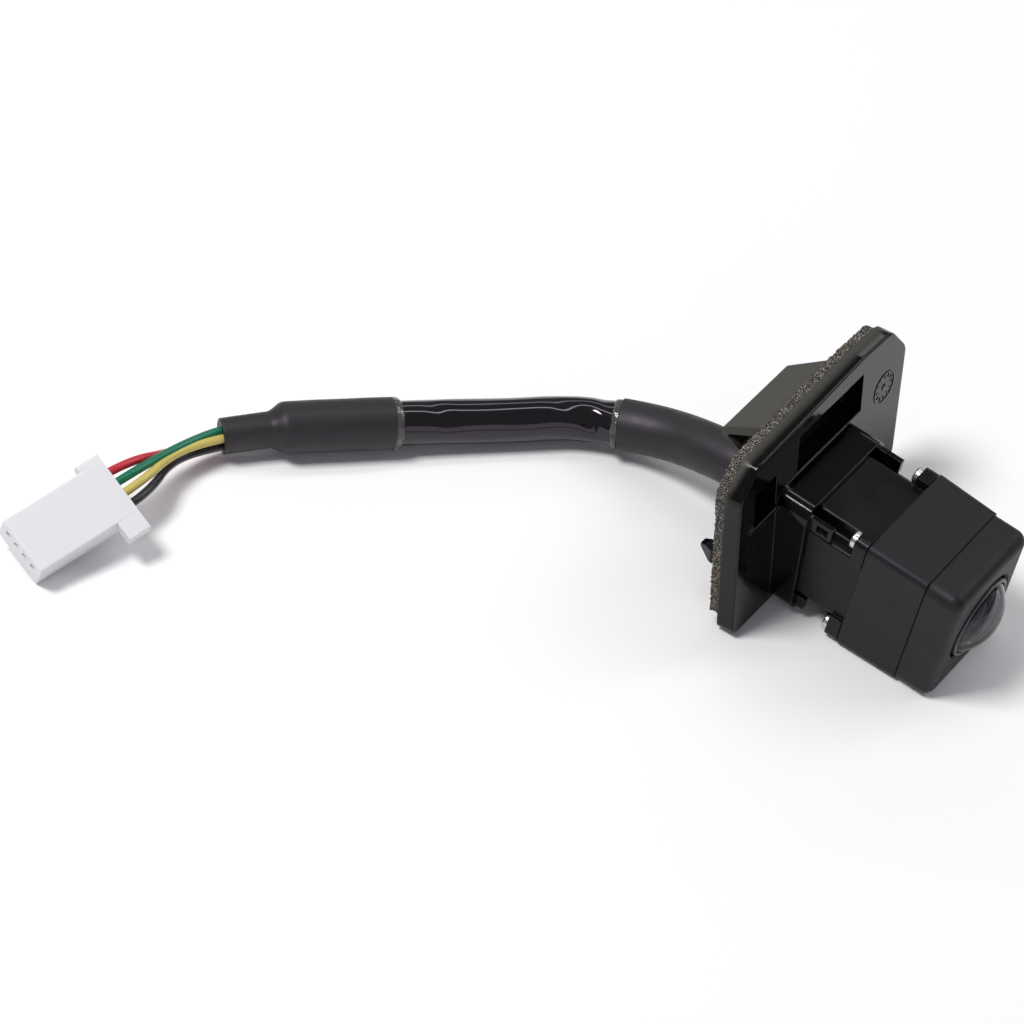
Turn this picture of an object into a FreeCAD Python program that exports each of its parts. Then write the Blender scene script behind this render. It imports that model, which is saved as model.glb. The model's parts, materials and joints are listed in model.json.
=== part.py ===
import FreeCAD, Part
import math
import os
from FreeCAD import Vector

# Flush-mount rear-view camera: a square camera head held in a snap-in bracket with a foam
# panel gasket, and a short pigtail that ends in a four-way plug.
# Millimetres. +Z is up, the lens looks along -Y, and Z = 0 is the surface the kit lies on.
# The origin is under the middle of the camera and bracket, without the pigtail.

# ---- driving dimensions -------------------------------------------------------------------
# camera head: a square tube along Y, in three parts
HEAD_X = -2.6              # optical axis
HEAD_Z = 14.1
FRONT_Y = -26.7            # front cover's outer face
FRONT_SEAM_Y = -19.0       # front cover to middle case
REAR_SEAM_Y = -6.2         # middle case to rear body
SEAM = 0.3                 # seal seen in each seam
CASE_W = 26.4              # middle case at the rear seam
CASE_H = 28.2
CASE_DRAFT = 0.4           # each side is this much narrower at the front seam
CASE_WALL = 1.7
CASE_EDGE_R = 1.6
COVER_CORNER_R = 2.6
COVER_FRONT_R = 2.5
FRONT_WALL = 2.4
LENS_HOLE_R = 9.1
NECK_W = 24.6
NECK_H = 23.6
NECK_NOTCH = 3.4
NECK_WALL = 1.5
NECK_END_Y = 16.2          # rear wall's outer face
EAR_T = 2.7                # screw ears at the neck's front end
SCREW_X = 11.0             # case screws, from the axis
SCREW_Z = 11.9
SCREW_HEAD_R = 1.75
SCREW_TIP_Y = -22.5
SCREW_HOLE_R = 1.0
PILOT_R = 0.92             # the screws grip in the front cover's posts
EAR_HOLE_R = 0.95
POST_R = 1.9
SEAL_W = 1.1

# lens
DOME_R = 7.8
DOME_RISE = 3.8
RING_R = 8.6
BARREL_R = 6.0

# bracket: drawn upright in its own frame, then leaned back and set down
LEAN = 10.3                # degrees
PLATE_W = 57.4
PLATE_H = 40.9
PLATE_X = -28.7            # plate's left edge
PLATE_Y = 9.2              # plate's front foot
RIM_DEPTH = 3.6
WEB_T = 1.8
SEAT_W = 6.8               # width of the foam's seat round the edge
COLLAR_W = 27.2
COLLAR_BOTTOM = 0.7
COLLAR_TOP = 27.5
COLLAR_WALL = 1.1
COLLAR_R = 3.3
COLLAR_REACH = 6.4         # lip ahead of the plate, at mid height
COLLAR_LEAN = 5.5          # lip's own lean, degrees
WINDOW = (19.3, 41.5, 27.4, 36.7)        # x0, x1, z0, z1 in the plate
POCKET = (4.9, 12.2, 24.6, 32.6)         # small blind core-out beside the collar
HOOD_DEPTH = 16.0
HOOD_WALL = 1.6
HOOD_TAPER = 3.6           # the hood's right wall comes in by this much at its rear
TAB_SKIN = 0.7             # depth of the window in an upper retaining tab
FOAM_T = 2.4
FOAM_INSET = 0.8
FOAM_FOOT = 3.2            # the gasket stops this far above the plate's foot
HOOK_T = 1.5
HOOK_GAP = 0.2             # root to web
HOOKS = {"left": (8.9, -1), "right": (48.6, 1)}      # beam's middle x, and the way its barb points
HOOK_Z = (8.4, 11.6)
HOOK_TIP_Y = 13.2
HOOK_PIVOT_Y = WEB_T + HOOK_GAP + HOOK_T / 2
BARB_REACH = 1.3
CLEAR = 0.35               # free play round the hooks, the neck and the hood

# electronics
SENSOR_BOARD_Y = FRONT_Y + 13.0          # its front face
BOARD_T = 1.0
BOARD_GAP = 3.2
PROCESSOR_BOARD_Y = SENSOR_BOARD_Y + BOARD_T + BOARD_GAP
BOARD_W = 17.4
BOARD_H = 19.4
POST_X = 6.9
POST_Z = 8.0

# pigtail; the stretches are distances along the cable's route
CABLE_D = 8.9
SLEEVE_D = 10.3
SLEEVE_TAIL_D = 7.4
WIRE_D = 1.7
BEAD_D = 0.7
TUBE_END = 103.8
FIRST_SLEEVE = (7.6, 39.6)
SECOND_SLEEVE = (84.9, 107.2)
TAPER = 2.6

# plug
PLUG_L = 22.3
PLUG_W = 12.0
PLUG_T = 6.5
FLANGE_Y = (-9.9, 7.4)     # one ear is longer, so that the plug goes in one way only
FLANGE_T = 2.4
FLANGE_L = 4.8
WAYS = 4
PITCH = 2.5
PLUG_CENTRE = Vector(-98.2, 114.2, 6.68)
PLUG_TURN = (167.2, 8.8, 162.0)          # yaw, pitch, roll in degrees; the lever faces down
CAVITY_Z = -0.9
CAVITY_HALF = 0.95
MOUTH_HALF = 0.6
TERMINAL_X = (3.0, 15.0)
LEVER_W = 5.4
LEVER_GAP = 0.3
RETAINER_Y = 5.1
LEVER_PIVOT = (9.3, 0.0, 2.55)

# the cable's route, from inside the neck to inside the second sleeve
CABLE_ROUTE = [(-2.6, 16.0, 14.1), (-2.6, 25.6, 14.1), (-1.9, 35.0, 11.9), (-1.3, 44.4, 8.3),
               (-3.7, 53.9, 5.9), (-8.8, 62.7, 4.9), (-17.7, 70.8, 4.7), (-26.4, 78.8, 5.0),
               (-35.7, 86.9, 5.5), (-44.9, 95.3, 5.6), (-53.0, 102.6, 5.4),
               (-60.6, 108.3, 4.8)]

# each wire's route, from inside the second sleeve to its terminal
WIRE_ROUTES = {
    "red": [(-53.6, 103.7, 4.4), (-59.5, 108.8, 3.8), (-70.9, 112.0, 5.6), (-82.6, 114.0, 11.1),
            (-90.2, 115.8, 9.9)],
    "green": [(-53.7, 104.4, 6.5), (-59.7, 108.8, 6.0), (-70.9, 111.2, 7.6), (-83.0, 111.7, 10.3),
              (-90.6, 113.4, 9.1)],
    "yellow": [(-54.9, 102.7, 6.2), (-60.8, 107.2, 5.7), (-71.7, 111.0, 7.2), (-83.4, 109.3, 9.6),
               (-91.0, 111.1, 8.3)],
    "black": [(-54.9, 102.6, 4.2), (-60.9, 107.0, 3.7), (-71.8, 111.4, 4.8), (-83.8, 107.0, 8.8),
              (-91.4, 108.7, 7.6)]}

X_AXIS = Vector(1, 0, 0)
Y_AXIS = Vector(0, 1, 0)
Z_AXIS = Vector(0, 0, 1)
ORIGIN = Vector(0, 0, 0)


# ---- helpers ------------------------------------------------------------------------------
def slab(x0, x1, y0, y1, z0, z1):
    return Part.makeBox(x1 - x0, y1 - y0, z1 - z0, Vector(x0, y0, z0))


def block(width, height, y0, y1, x=HEAD_X, z=HEAD_Z):
    """A box along Y, centred on x and z."""
    return slab(x - width / 2, x + width / 2, y0, y1, z - height / 2, z + height / 2)


def rod(radius, y0, y1, x=HEAD_X, z=HEAD_Z):
    """A round bar along Y."""
    return Part.makeCylinder(radius, y1 - y0, Vector(x, y0, z), Y_AXIS)


def tube(outer, inner, y0, y1, x=HEAD_X, z=HEAD_Z):
    return rod(outer, y0, y1, x, z).cut(rod(inner, y0, y1, x, z))


def edges_along(shape, axis, slack=1e-4):
    """The straight edges that run along an axis."""
    found = []
    for edge in shape.Edges:
        if isinstance(edge.Curve, Part.Line):
            if abs(abs(edge.tangentAt(edge.FirstParameter).dot(axis)) - 1) < slack:
                found.append(edge)
    return found


def edges_at(shape, axis, value):
    """The edges that lie wholly in the plane axis = value."""
    found = []
    for edge in shape.Edges:
        box = edge.BoundBox
        low, high = (box.YMin, box.YMax) if axis == "y" else (box.ZMin, box.ZMax)
        if abs(low - value) < 1e-3 and abs(high - value) < 1e-3:
            found.append(edge)
    return found


def rounded_block(width, height, y0, y1, radius, x=HEAD_X, z=HEAD_Z):
    solid = block(width, height, y0, y1, x, z)
    return solid.makeFillet(radius, edges_along(solid, Y_AXIS))


def round_rect_wire(width, height, radius, y, x=HEAD_X, z=HEAD_Z):
    """A rectangle with round corners in a plane across Y."""
    corners = [(-1, -1), (1, -1), (1, 1), (-1, 1)]
    points = [Vector(x + i * width / 2, y, z + k * height / 2) for i, k in corners]
    return rounded_polygon(points, [radius] * len(points))


def rounded_polygon(points, radii):
    """A closed wire through the points, each corner turned by an arc of its radius."""
    cuts = []
    for i, point in enumerate(points):
        back = (points[i - 1] - point).normalize()
        ahead = (points[(i + 1) % len(points)] - point).normalize()
        half = math.acos(max(-1.0, min(1.0, back.dot(ahead)))) / 2
        reach = radii[i] / math.tan(half)
        middle = (back + ahead).normalize()
        bow = radii[i] / math.sin(half) - radii[i]
        cuts.append((point + back * reach, point + middle * bow, point + ahead * reach))
    edges = []
    for i, (start, top, end) in enumerate(cuts):
        edges.append(Part.Arc(start, top, end).toShape())
        following = cuts[(i + 1) % len(cuts)][0]
        if (following - end).Length > 1e-4:
            edges.append(Part.LineSegment(end, following).toShape())
    return Part.Wire(edges)


def prism_x(points, x0, x1):
    """A solid between two x planes, from its outline in y and z."""
    corners = [Vector(x0, y, z) for y, z in points]
    face = Part.Face(Part.makePolygon(corners + corners[:1]))
    return face.extrude(Vector(x1 - x0, 0, 0))


def prism_y(points, y0, y1):
    corners = [Vector(x, y0, z) for x, z in points]
    return Part.Face(Part.makePolygon(corners + corners[:1])).extrude(Vector(0, y1 - y0, 0))


def prism_z(points, z0, z1):
    corners = [Vector(x, y, z0) for x, y in points]
    return Part.Face(Part.makePolygon(corners + corners[:1])).extrude(Vector(0, 0, z1 - z0))


def fused(shapes):
    whole = shapes[0].multiFuse(shapes[1:]) if len(shapes) > 1 else shapes[0]
    return whole.removeSplitter()


def corners_at(dx, dz):
    """The four places dx and dz from the optical axis."""
    return [(HEAD_X + i * dx, HEAD_Z + k * dz) for i, k in ((-1, 1), (1, 1), (1, -1), (-1, -1))]


def screw_places():
    return corners_at(SCREW_X, SCREW_Z)


def export(node, shape):
    for solid in shape.Solids:
        if not solid.isValid() or solid.Volume <= 0:
            print("bad solid in", node)
    shape.exportStep("parts/" + node + ".step")
    box = shape.BoundBox
    print("%-26s %d solid(s) %9.1f mm3  x %.1f..%.1f  y %.1f..%.1f  z %.2f..%.2f" % (
        node, len(shape.Solids), shape.Volume, box.XMin, box.XMax, box.YMin, box.YMax,
        box.ZMin, box.ZMax))


# ---- camera head --------------------------------------------------------------------------
def make_front_cover():
    width = CASE_W - 2 * CASE_DRAFT
    height = CASE_H - CASE_DRAFT
    middle = height / 2
    back = FRONT_SEAM_Y - SEAM
    solid = rounded_block(width, height, FRONT_Y, back, COVER_CORNER_R, z=middle)
    solid = solid.makeFillet(COVER_FRONT_R, edges_at(solid, "y", FRONT_Y))
    hollow = rounded_block(width - 2 * CASE_WALL, height - 2 * CASE_WALL, FRONT_Y + FRONT_WALL,
                           back + 1, 1.5, z=middle)
    solid = solid.cut(hollow)
    rim = Vector(HEAD_X, FRONT_Y, HEAD_Z)
    mouth = Part.makeCone(LENS_HOLE_R + 0.5, LENS_HOLE_R, 0.5, rim, Y_AXIS)
    solid = solid.cut(rod(LENS_HOLE_R, FRONT_Y - 1, FRONT_Y + 5)).cut(mouth)
    inside = rounded_block(width - 1, height - 1, FRONT_Y + 1, back, 1.5, z=middle)
    posts = [rod(POST_R, FRONT_Y + 2.0, back, x, z).common(inside) for x, z in screw_places()]
    solid = fused([solid] + posts)
    for x, z in screw_places():
        solid = solid.cut(rod(PILOT_R, SCREW_TIP_Y - 0.4, back + 1, x, z))
    return solid


def make_middle_case():
    """Its top and sides draw in a little towards the front; its underside is level."""
    front_w, front_h = CASE_W - 2 * CASE_DRAFT, CASE_H - CASE_DRAFT
    side = [(FRONT_SEAM_Y, 0), (REAR_SEAM_Y, 0), (REAR_SEAM_Y, CASE_H), (FRONT_SEAM_Y, front_h)]
    plan = [(HEAD_X - front_w / 2, FRONT_SEAM_Y), (HEAD_X + front_w / 2, FRONT_SEAM_Y),
            (HEAD_X + CASE_W / 2, REAR_SEAM_Y), (HEAD_X - CASE_W / 2, REAR_SEAM_Y)]
    solid = prism_x(side, -60, 60).common(prism_z(plan, -10, 60))
    solid = solid.makeFillet(CASE_EDGE_R, edges_along(solid, Y_AXIS, 0.01))
    hollow = rounded_block(front_w - 2 * CASE_WALL, front_h - 2 * CASE_WALL, FRONT_SEAM_Y - 1,
                           REAR_SEAM_Y - CASE_WALL, 1.5)
    rear_opening = rounded_block(14.0, 18.0, REAR_SEAM_Y - 3, REAR_SEAM_Y + 1, 1.0)
    solid = solid.cut(hollow).cut(rear_opening)
    inside = rounded_block(front_w - 1, front_h - 1, FRONT_SEAM_Y, REAR_SEAM_Y, 1.5)
    for x, z in screw_places():
        solid = fused([solid, rod(POST_R, FRONT_SEAM_Y, REAR_SEAM_Y - 1, x, z).common(inside)])
    for x, z in screw_places():
        solid = solid.cut(rod(SCREW_HOLE_R, FRONT_SEAM_Y - 1, REAR_SEAM_Y + 1, x, z))
    return solid


def notched(width, height, notch, y0, y1):
    """A block with its four long corners cut away."""
    wide = block(width, height - 2 * notch, y0, y1)
    tall = block(width - 2 * notch, height, y0, y1)
    return fused([wide, tall])


def make_rear_body():
    front = REAR_SEAM_Y + SEAM
    solid = notched(NECK_W, NECK_H, NECK_NOTCH, front, NECK_END_Y)
    solid = solid.makeFillet(0.6, edges_along(solid, Y_AXIS))
    ears = rounded_block(CASE_W - 0.2, CASE_H - 0.4, front, front + EAR_T, CASE_EDGE_R)
    reach = 4.0
    behind = (front - 1, front + EAR_T + 1)
    for sign in (-1, 1):
        beside = HEAD_X + sign * (NECK_W + reach) / 2
        above = HEAD_Z + sign * (NECK_H + reach) / 2
        ears = ears.cut(block(reach, NECK_H - 2 * NECK_NOTCH - 1, *behind, x=beside))
        ears = ears.cut(block(NECK_W - 2 * NECK_NOTCH - 1, reach, *behind, z=above))
    solid = fused([solid, ears])
    cavity = notched(NECK_W - 2 * NECK_WALL, NECK_H - 2 * NECK_WALL, NECK_NOTCH, front - 1,
                     NECK_END_Y - 2.0)
    solid = solid.cut(cavity).cut(rod(5.4, NECK_END_Y - 3, NECK_END_Y + 1))
    for x, z in screw_places():
        solid = solid.cut(rod(EAR_HOLE_R, *behind, x, z))
    return solid


def make_seal(y, width, height, z):
    """A flat ring in a seam, scalloped where the case screws pass."""
    outer = Part.Face(round_rect_wire(width, height, CASE_EDGE_R, y, z=z))
    inner = Part.Face(round_rect_wire(width - 2 * SEAL_W, height - 2 * SEAL_W, 1.0, y, z=z))
    ring = outer.cut(inner).extrude(Vector(0, SEAM, 0))
    for x, z in screw_places():
        ring = ring.cut(rod(SCREW_HOLE_R, y - 1, y + 1, x, z))
    return ring


def make_front_seal():
    width, height = CASE_W - 2 * CASE_DRAFT, CASE_H - CASE_DRAFT
    inset = 0.7
    return make_seal(FRONT_SEAM_Y - SEAM, width - inset, height - inset, height / 2)


def make_rear_seal():
    return make_seal(REAR_SEAM_Y, CASE_W - 0.9, CASE_H - 1.4, HEAD_Z)


def make_case_screws():
    """Pan heads with a cross recess; each shank ends blind in the front cover."""
    seat = REAR_SEAM_Y + SEAM + EAR_T
    screws = []
    for x, z in screw_places():
        head = Part.makeCylinder(SCREW_HEAD_R, 1.3, Vector(x, seat, z), Y_AXIS)
        head = head.makeFillet(0.5, edges_at(head, "y", seat + 1.3))
        shank = rod(0.9, SCREW_TIP_Y, seat + 0.2, x, z)
        cross = fused([slab(x - 1.0, x + 1.0, seat + 0.6, seat + 2, z - 0.22, z + 0.22),
                       slab(x - 0.22, x + 0.22, seat + 0.6, seat + 2, z - 1.0, z + 1.0)])
        screws.append(fused([head, shank]).cut(cross))
    return Part.makeCompound(screws)


# ---- lens ---------------------------------------------------------------------------------
def cap(base_r, rise, y):
    """The part of a ball that stands proud of the plane at y, towards -Y."""
    ball_r = (base_r ** 2 + rise ** 2) / (2 * rise)
    ball = Part.makeSphere(ball_r, Vector(HEAD_X, y - rise + ball_r, HEAD_Z))
    return ball.common(rod(base_r, y - rise - 1, y))


def make_lens_dome():
    outer = cap(DOME_R, DOME_RISE, FRONT_Y)
    skirt = rod(DOME_R, FRONT_Y, FRONT_Y + 1.2)
    inner = cap(DOME_R - 1.9, DOME_RISE - 1.5, FRONT_Y)
    inner = fused([inner, rod(DOME_R - 1.9, FRONT_Y - 0.01, FRONT_Y + 1.2)])
    return fused([outer, skirt]).cut(inner)


def make_lens_ring():
    ring = tube(RING_R, DOME_R + 0.05, FRONT_Y - 0.35, FRONT_Y + 1.4)
    return ring.makeFillet(0.25, [e for e in edges_at(ring, "y", FRONT_Y - 0.35)
                                  if e.Length > 2 * math.pi * (DOME_R + 0.3)])


def make_lens_barrel():
    head = rod(8.4, FRONT_Y + 1.4, FRONT_Y + 4.4)
    shank = rod(BARREL_R - 0.05, FRONT_Y + 4.4, FRONT_Y + 10.6)
    solid = fused([head, shank])
    bore = fused([rod(5.9, FRONT_Y + 1.0, FRONT_Y + 3.4), rod(4.4, FRONT_Y + 3.0, FRONT_Y + 11)])
    return solid.cut(bore)


def make_lens_elements():
    second = cap(5.6, 1.6, FRONT_Y + 3.0)
    second = fused([second, rod(5.8, FRONT_Y + 3.0 - 0.01, FRONT_Y + 3.4)])
    third = rod(4.3, FRONT_Y + 5.2, FRONT_Y + 6.2)
    fourth = fused([cap(4.2, 0.9, FRONT_Y + 8.6), rod(4.3, FRONT_Y + 8.6 - 0.01, FRONT_Y + 9.4)])
    return Part.makeCompound([second, third, fourth])


def make_lens_seal():
    return Part.makeTorus(8.75, 0.33, Vector(HEAD_X, FRONT_Y + 1.9, HEAD_Z), Y_AXIS)


def make_lens_holder():
    foot_y = FRONT_Y + 13.0
    base = block(14.0, 14.0, foot_y - 3.0, foot_y)
    sleeve = rod(7.5, FRONT_Y + 6.0, foot_y - 2.5)
    hollow = fused([block(9.5, 9.5, foot_y - 2.2, foot_y + 1),
                    rod(BARREL_R, FRONT_Y + 5, foot_y - 2.0)])
    return fused([base, sleeve]).cut(hollow)


# ---- electronics --------------------------------------------------------------------------
def make_board(y):
    board = rounded_block(BOARD_W, BOARD_H, y, y + BOARD_T, 1.0)
    for x, z in corners_at(POST_X, POST_Z):
        board = board.cut(rod(0.8, y - 1, y + 2, x, z))
    return board


def make_board_spacers():
    start = SENSOR_BOARD_Y + BOARD_T
    return Part.makeCompound([tube(1.4, 0.8, start, PROCESSOR_BOARD_Y, x, z)
                              for x, z in corners_at(POST_X, POST_Z)])


def make_board_screws():
    screws = []
    top = PROCESSOR_BOARD_Y + BOARD_T
    for x, z in corners_at(POST_X, POST_Z):
        shank = rod(0.72, SENSOR_BOARD_Y + 0.1, top + 0.1, x, z)
        screws.append(fused([shank, rod(1.3, top, top + 0.5, x, z)]))
    return Part.makeCompound(screws)


def make_image_sensor():
    return block(7.0, 6.0, SENSOR_BOARD_Y - 1.0, SENSOR_BOARD_Y)


def make_infrared_filter():
    return block(6.4, 5.6, SENSOR_BOARD_Y - 1.4, SENSOR_BOARD_Y - 1.0)


def make_board_header():
    return block(10.0, 2.4, SENSOR_BOARD_Y + BOARD_T, PROCESSOR_BOARD_Y, z=HEAD_Z - 5.0)


def make_processor_chip():
    return block(8.0, 8.0, PROCESSOR_BOARD_Y - 1.0, PROCESSOR_BOARD_Y, z=HEAD_Z + 2.5)


def make_wire_socket():
    start = PROCESSOR_BOARD_Y + BOARD_T
    socket = block(11.0, 4.6, start, start + 4.5)
    for n in range(WAYS):
        x = HEAD_X + (n - (WAYS - 1) / 2) * PITCH
        socket = socket.cut(rod(0.62, start + 1.5, start + 5, x))
    return socket


def make_internal_leads():
    start = PROCESSOR_BOARD_Y + BOARD_T + 2.0
    leads = []
    for n in range(WAYS):
        x = HEAD_X + (n - (WAYS - 1) / 2) * PITCH
        bundle_x = HEAD_X + (n - (WAYS - 1) / 2) * 1.35
        path = [(x, start, HEAD_Z), (x, start + 5, HEAD_Z), (bundle_x, start + 12, HEAD_Z),
                (bundle_x, CABLE_ROUTE[0][1], HEAD_Z)]
        leads.append(run_tube(path, 1.2, None))
    return Part.makeCompound(leads)


# ---- swept cords --------------------------------------------------------------------------
def route_wire(points, name):
    """Straight runs joined by tangent arcs, as large as each pair of runs allows."""
    stops = [Vector(*p) for p in points]
    edges = []
    here = stops[0]
    radii = []
    for before, corner, after in zip(stops, stops[1:], stops[2:]):
        into = (before - corner)
        out = (after - corner)
        reach = 0.45 * min(into.Length, out.Length)
        into.normalize()
        out.normalize()
        half = math.acos(max(-1.0, min(1.0, into.dot(out)))) / 2
        radius = reach * math.tan(half)
        radii.append(radius)
        start = corner + into * reach
        end = corner + out * reach
        middle = corner + (into + out).normalize() * (radius / math.sin(half) - radius)
        edges.append(Part.LineSegment(here, start).toShape())
        edges.append(Part.Arc(start, middle, end).toShape())
        here = end
    edges.append(Part.LineSegment(here, stops[-1]).toShape())
    wire = Part.Wire(edges)
    if name:
        print("%s: %.1f mm long, arc radii %s" % (
            name, wire.Length, " ".join("%.0f" % r for r in radii)))
    return wire


def run_tube(points, diameter, name):
    """A round solid along the route; its volume is compared with section times length."""
    wire = route_wire(points, name)
    start = wire.Edges[0]
    direction = start.tangentAt(start.FirstParameter)
    disc = Part.Face(Part.Wire(Part.makeCircle(diameter / 2, Vector(*points[0]), direction)))
    solid = wire.makePipeShell([disc.OuterWire], True, True, 1)
    if solid.ShapeType != "Solid":
        solid = Part.Solid(solid.Shells[0])
    if name:
        ratio = solid.Volume / (math.pi * diameter ** 2 / 4 * wire.Length)
        print("%s: volume / (section x length) = %.4f" % (name, ratio))
    return solid


def cut_wire(wire, first, last):
    """The stretch of a route between two distances along it."""
    kept = []
    gone = 0.0
    for edge in wire.Edges:
        length = edge.Length
        low, high = max(first - gone, 0.0), min(last - gone, length)
        if high - low > 1e-4:
            kept.append(edge.Curve.toShape(edge.getParameterByLength(low),
                                           edge.getParameterByLength(high)))
        gone += length
    return Part.Wire(kept)


def sweep_round(wire, diameter):
    edge = wire.Edges[0]
    start = edge.valueAt(edge.FirstParameter)
    disc = Part.Wire(Part.makeCircle(diameter / 2, start, edge.tangentAt(edge.FirstParameter)))
    solid = wire.makePipeShell([disc], True, True, 1)
    return solid if solid.ShapeType == "Solid" else Part.Solid(solid.Shells[0])


def end_frame(wire, distance):
    """A point on the route and its direction there."""
    short = cut_wire(wire, 0.0, distance)
    edge = short.Edges[-1]
    return edge.valueAt(edge.LastParameter), edge.tangentAt(edge.LastParameter)


def make_cable_tube(route):
    return sweep_round(cut_wire(route, 0.0, TUBE_END), CABLE_D)


def make_first_sleeve(route):
    stretch = cut_wire(route, *FIRST_SLEEVE)
    return sweep_round(stretch, SLEEVE_D).cut(sweep_round(stretch, CABLE_D))


def make_second_sleeve(route):
    """Wide over the cable, then a short taper down to a tail over the four wires."""
    start, end = SECOND_SLEEVE
    wide = sweep_round(cut_wire(route, start, end), SLEEVE_D)
    point, direction = end_frame(route, end)
    inside_tail = SLEEVE_TAIL_D / 2 - 0.4
    taper = Part.makeCone(SLEEVE_D / 2, inside_tail, TAPER, point, direction)
    tail = sweep_round(cut_wire(route, end, route.Length), SLEEVE_TAIL_D)
    return wide.fuse([taper, tail]).cut(make_cable_tube(route))


def make_adhesive_beads(route):
    beads = []
    for distance, size in ((FIRST_SLEEVE[1], CABLE_D), (SECOND_SLEEVE[0], CABLE_D)):
        point, direction = end_frame(route, distance)
        side = 1 if distance == FIRST_SLEEVE[1] else -1
        centre = point + direction * (side * BEAD_D / 2)
        outer = Part.makeCylinder(size / 2 + BEAD_D, BEAD_D, centre - direction * BEAD_D / 2, direction)
        inner = Part.makeCylinder(size / 2, BEAD_D, centre - direction * BEAD_D / 2, direction)
        beads.append(outer.cut(inner))
    return Part.makeCompound(beads)


def make_cable_grommet():
    """Rubber bush through the rear wall, with a tapered tail round the cable."""
    flange = rod(6.4, NECK_END_Y, NECK_END_Y + 1.4)
    plug = rod(5.4, NECK_END_Y - 2.0, NECK_END_Y + 0.1)
    tail = Part.makeCone(5.9, 5.2, 5.6, Vector(HEAD_X, NECK_END_Y + 1.3, HEAD_Z), Y_AXIS)
    return fused([flange, plug, tail]).cut(rod(CABLE_D / 2, NECK_END_Y - 3, NECK_END_Y + 9))


# ---- bracket ------------------------------------------------------------------------------
def settle(shape):
    """From the bracket's own upright frame to where it rests."""
    placed = shape.copy()
    placed.rotate(ORIGIN, X_AXIS, -LEAN)
    placed.translate(Vector(PLATE_X, PLATE_Y, RIM_DEPTH * math.sin(math.radians(LEAN))))
    return placed


def unsettle(shape):
    placed = shape.copy()
    placed.translate(Vector(-PLATE_X, -PLATE_Y, -RIM_DEPTH * math.sin(math.radians(LEAN))))
    placed.rotate(ORIGIN, X_AXIS, LEAN)
    return placed


def plate_outline():
    """x, z and corner radius, from the foot of the left edge upwards."""
    corners = [(0, 0, 1.8), (0, 33.7, 3.0), (5.6, 39.1, 3.0), (41.0, PLATE_H, 5.0),
               (51.5, 40.4, 4.5), (PLATE_W, 33.0, 4.0), (56.2, 7.0, 4.0), (51.2, 0, 4.0)]
    return rounded_polygon([Vector(x, 0, z) for x, z, r in corners], [r for x, z, r in corners])


def ring_face(outset, inset):
    outline = plate_outline()
    outer = outline.makeOffset2D(outset) if abs(outset) > 1e-6 else outline
    return Part.Face(outer).cut(Part.Face(outline.makeOffset2D(-inset)))


def make_collar():
    """The sleeve round the neck, as a solid and its bore, in the resting frame."""
    height = COLLAR_TOP - COLLAR_BOTTOM
    middle = (COLLAR_TOP + COLLAR_BOTTOM) / 2
    outer = rounded_block(COLLAR_W, height, -6.0, 17.0, COLLAR_R, z=middle)
    bore = rounded_block(COLLAR_W - 2 * COLLAR_WALL, height - 2 * COLLAR_WALL, -8.0, 30.0,
                         COLLAR_R - COLLAR_WALL, z=middle)
    lip_y = PLATE_Y + 2.9 - COLLAR_REACH
    ahead = slab(-60, 60, lip_y - 40, lip_y, -40, 80)
    ahead.rotate(Vector(0, lip_y, HEAD_Z), X_AXIS, -COLLAR_LEAN)
    outer = outer.cut(ahead)
    return outer, bore


def hood_plan(x0, x1, depth):
    """The hood seen from above: its right wall comes in towards the rear."""
    plan = [(x0, -3), (x1, -3), (x1, RIM_DEPTH), (x1 - HOOD_TAPER, depth), (x0, depth)]
    return prism_z(plan, 0, 60)


def make_bracket():
    outline = Part.Face(plate_outline())
    web = outline.extrude(Vector(0, WEB_T, 0))
    seat = ring_face(0, SEAT_W).extrude(Vector(0, RIM_DEPTH, 0))
    body = fused([web, seat])
    body = body.makeFillet(0.45, [e for e in edges_at(body, "y", 0.0)])
    x0, x1, z0, z1 = WINDOW
    wall = HOOD_WALL
    hood_outer = prism_x([(0.6, z1 + wall), (3.0, z1 + wall), (HOOD_DEPTH, 31.9), (HOOD_DEPTH, 29.6),
                          (11.5, z0 - 0.8), (0.6, z0 - 0.8)], x0 - wall, x1 + wall)
    hood_outer = hood_outer.common(hood_plan(x0 - wall, x1 + wall, HOOD_DEPTH))
    rear_edges = [e for e in edges_along(hood_outer, X_AXIS) if e.BoundBox.YMin > HOOD_DEPTH - 0.1]
    hood_outer = hood_outer.makeFillet(1.1, rear_edges)
    hollow = [(-2.0, z1), (3.0, z1), (HOOD_DEPTH - wall, 31.0), (HOOD_DEPTH - wall, 30.0),
              (11.0, z0 + 0.4), (-2.0, z0)]
    room = prism_x(hollow, x0, x1).common(hood_plan(x0, x1, HOOD_DEPTH))
    body = fused([body, hood_outer]).cut(room)
    end_gap = [(5.6, 34.6), (HOOD_DEPTH - wall, 30.9), (HOOD_DEPTH - wall, 30.1), (11.0, z0 + 0.5),
               (5.6, z0 + 0.5)]
    body = body.cut(prism_x(end_gap, x0 - wall - 1, x0 + 1))
    px0, px1, pz0, pz1 = POCKET
    backing = slab(px0 - 1.2, px1 + 1.2, 0.2, RIM_DEPTH, pz0 - 1.2, pz1 + 1.2)
    body = fused([body, backing]).cut(slab(px0, px1, -1, RIM_DEPTH - 1.0, pz0, pz1))
    ledge = slab(px0 - 1.5, px1 + 1.0, -0.5, 0.6, pz0 - 0.7, pz0)
    outer, bore = make_collar()
    outer, bore = unsettle(outer), unsettle(bore)
    outer = outer.cut(slab(-20, 90, WEB_T + 1.5, 60, -40, 90))
    body = fused([body, outer, ledge]).cut(bore)
    for side in HOOKS:
        body = body.cut(hook_space(side, WEB_T))
    return body


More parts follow.
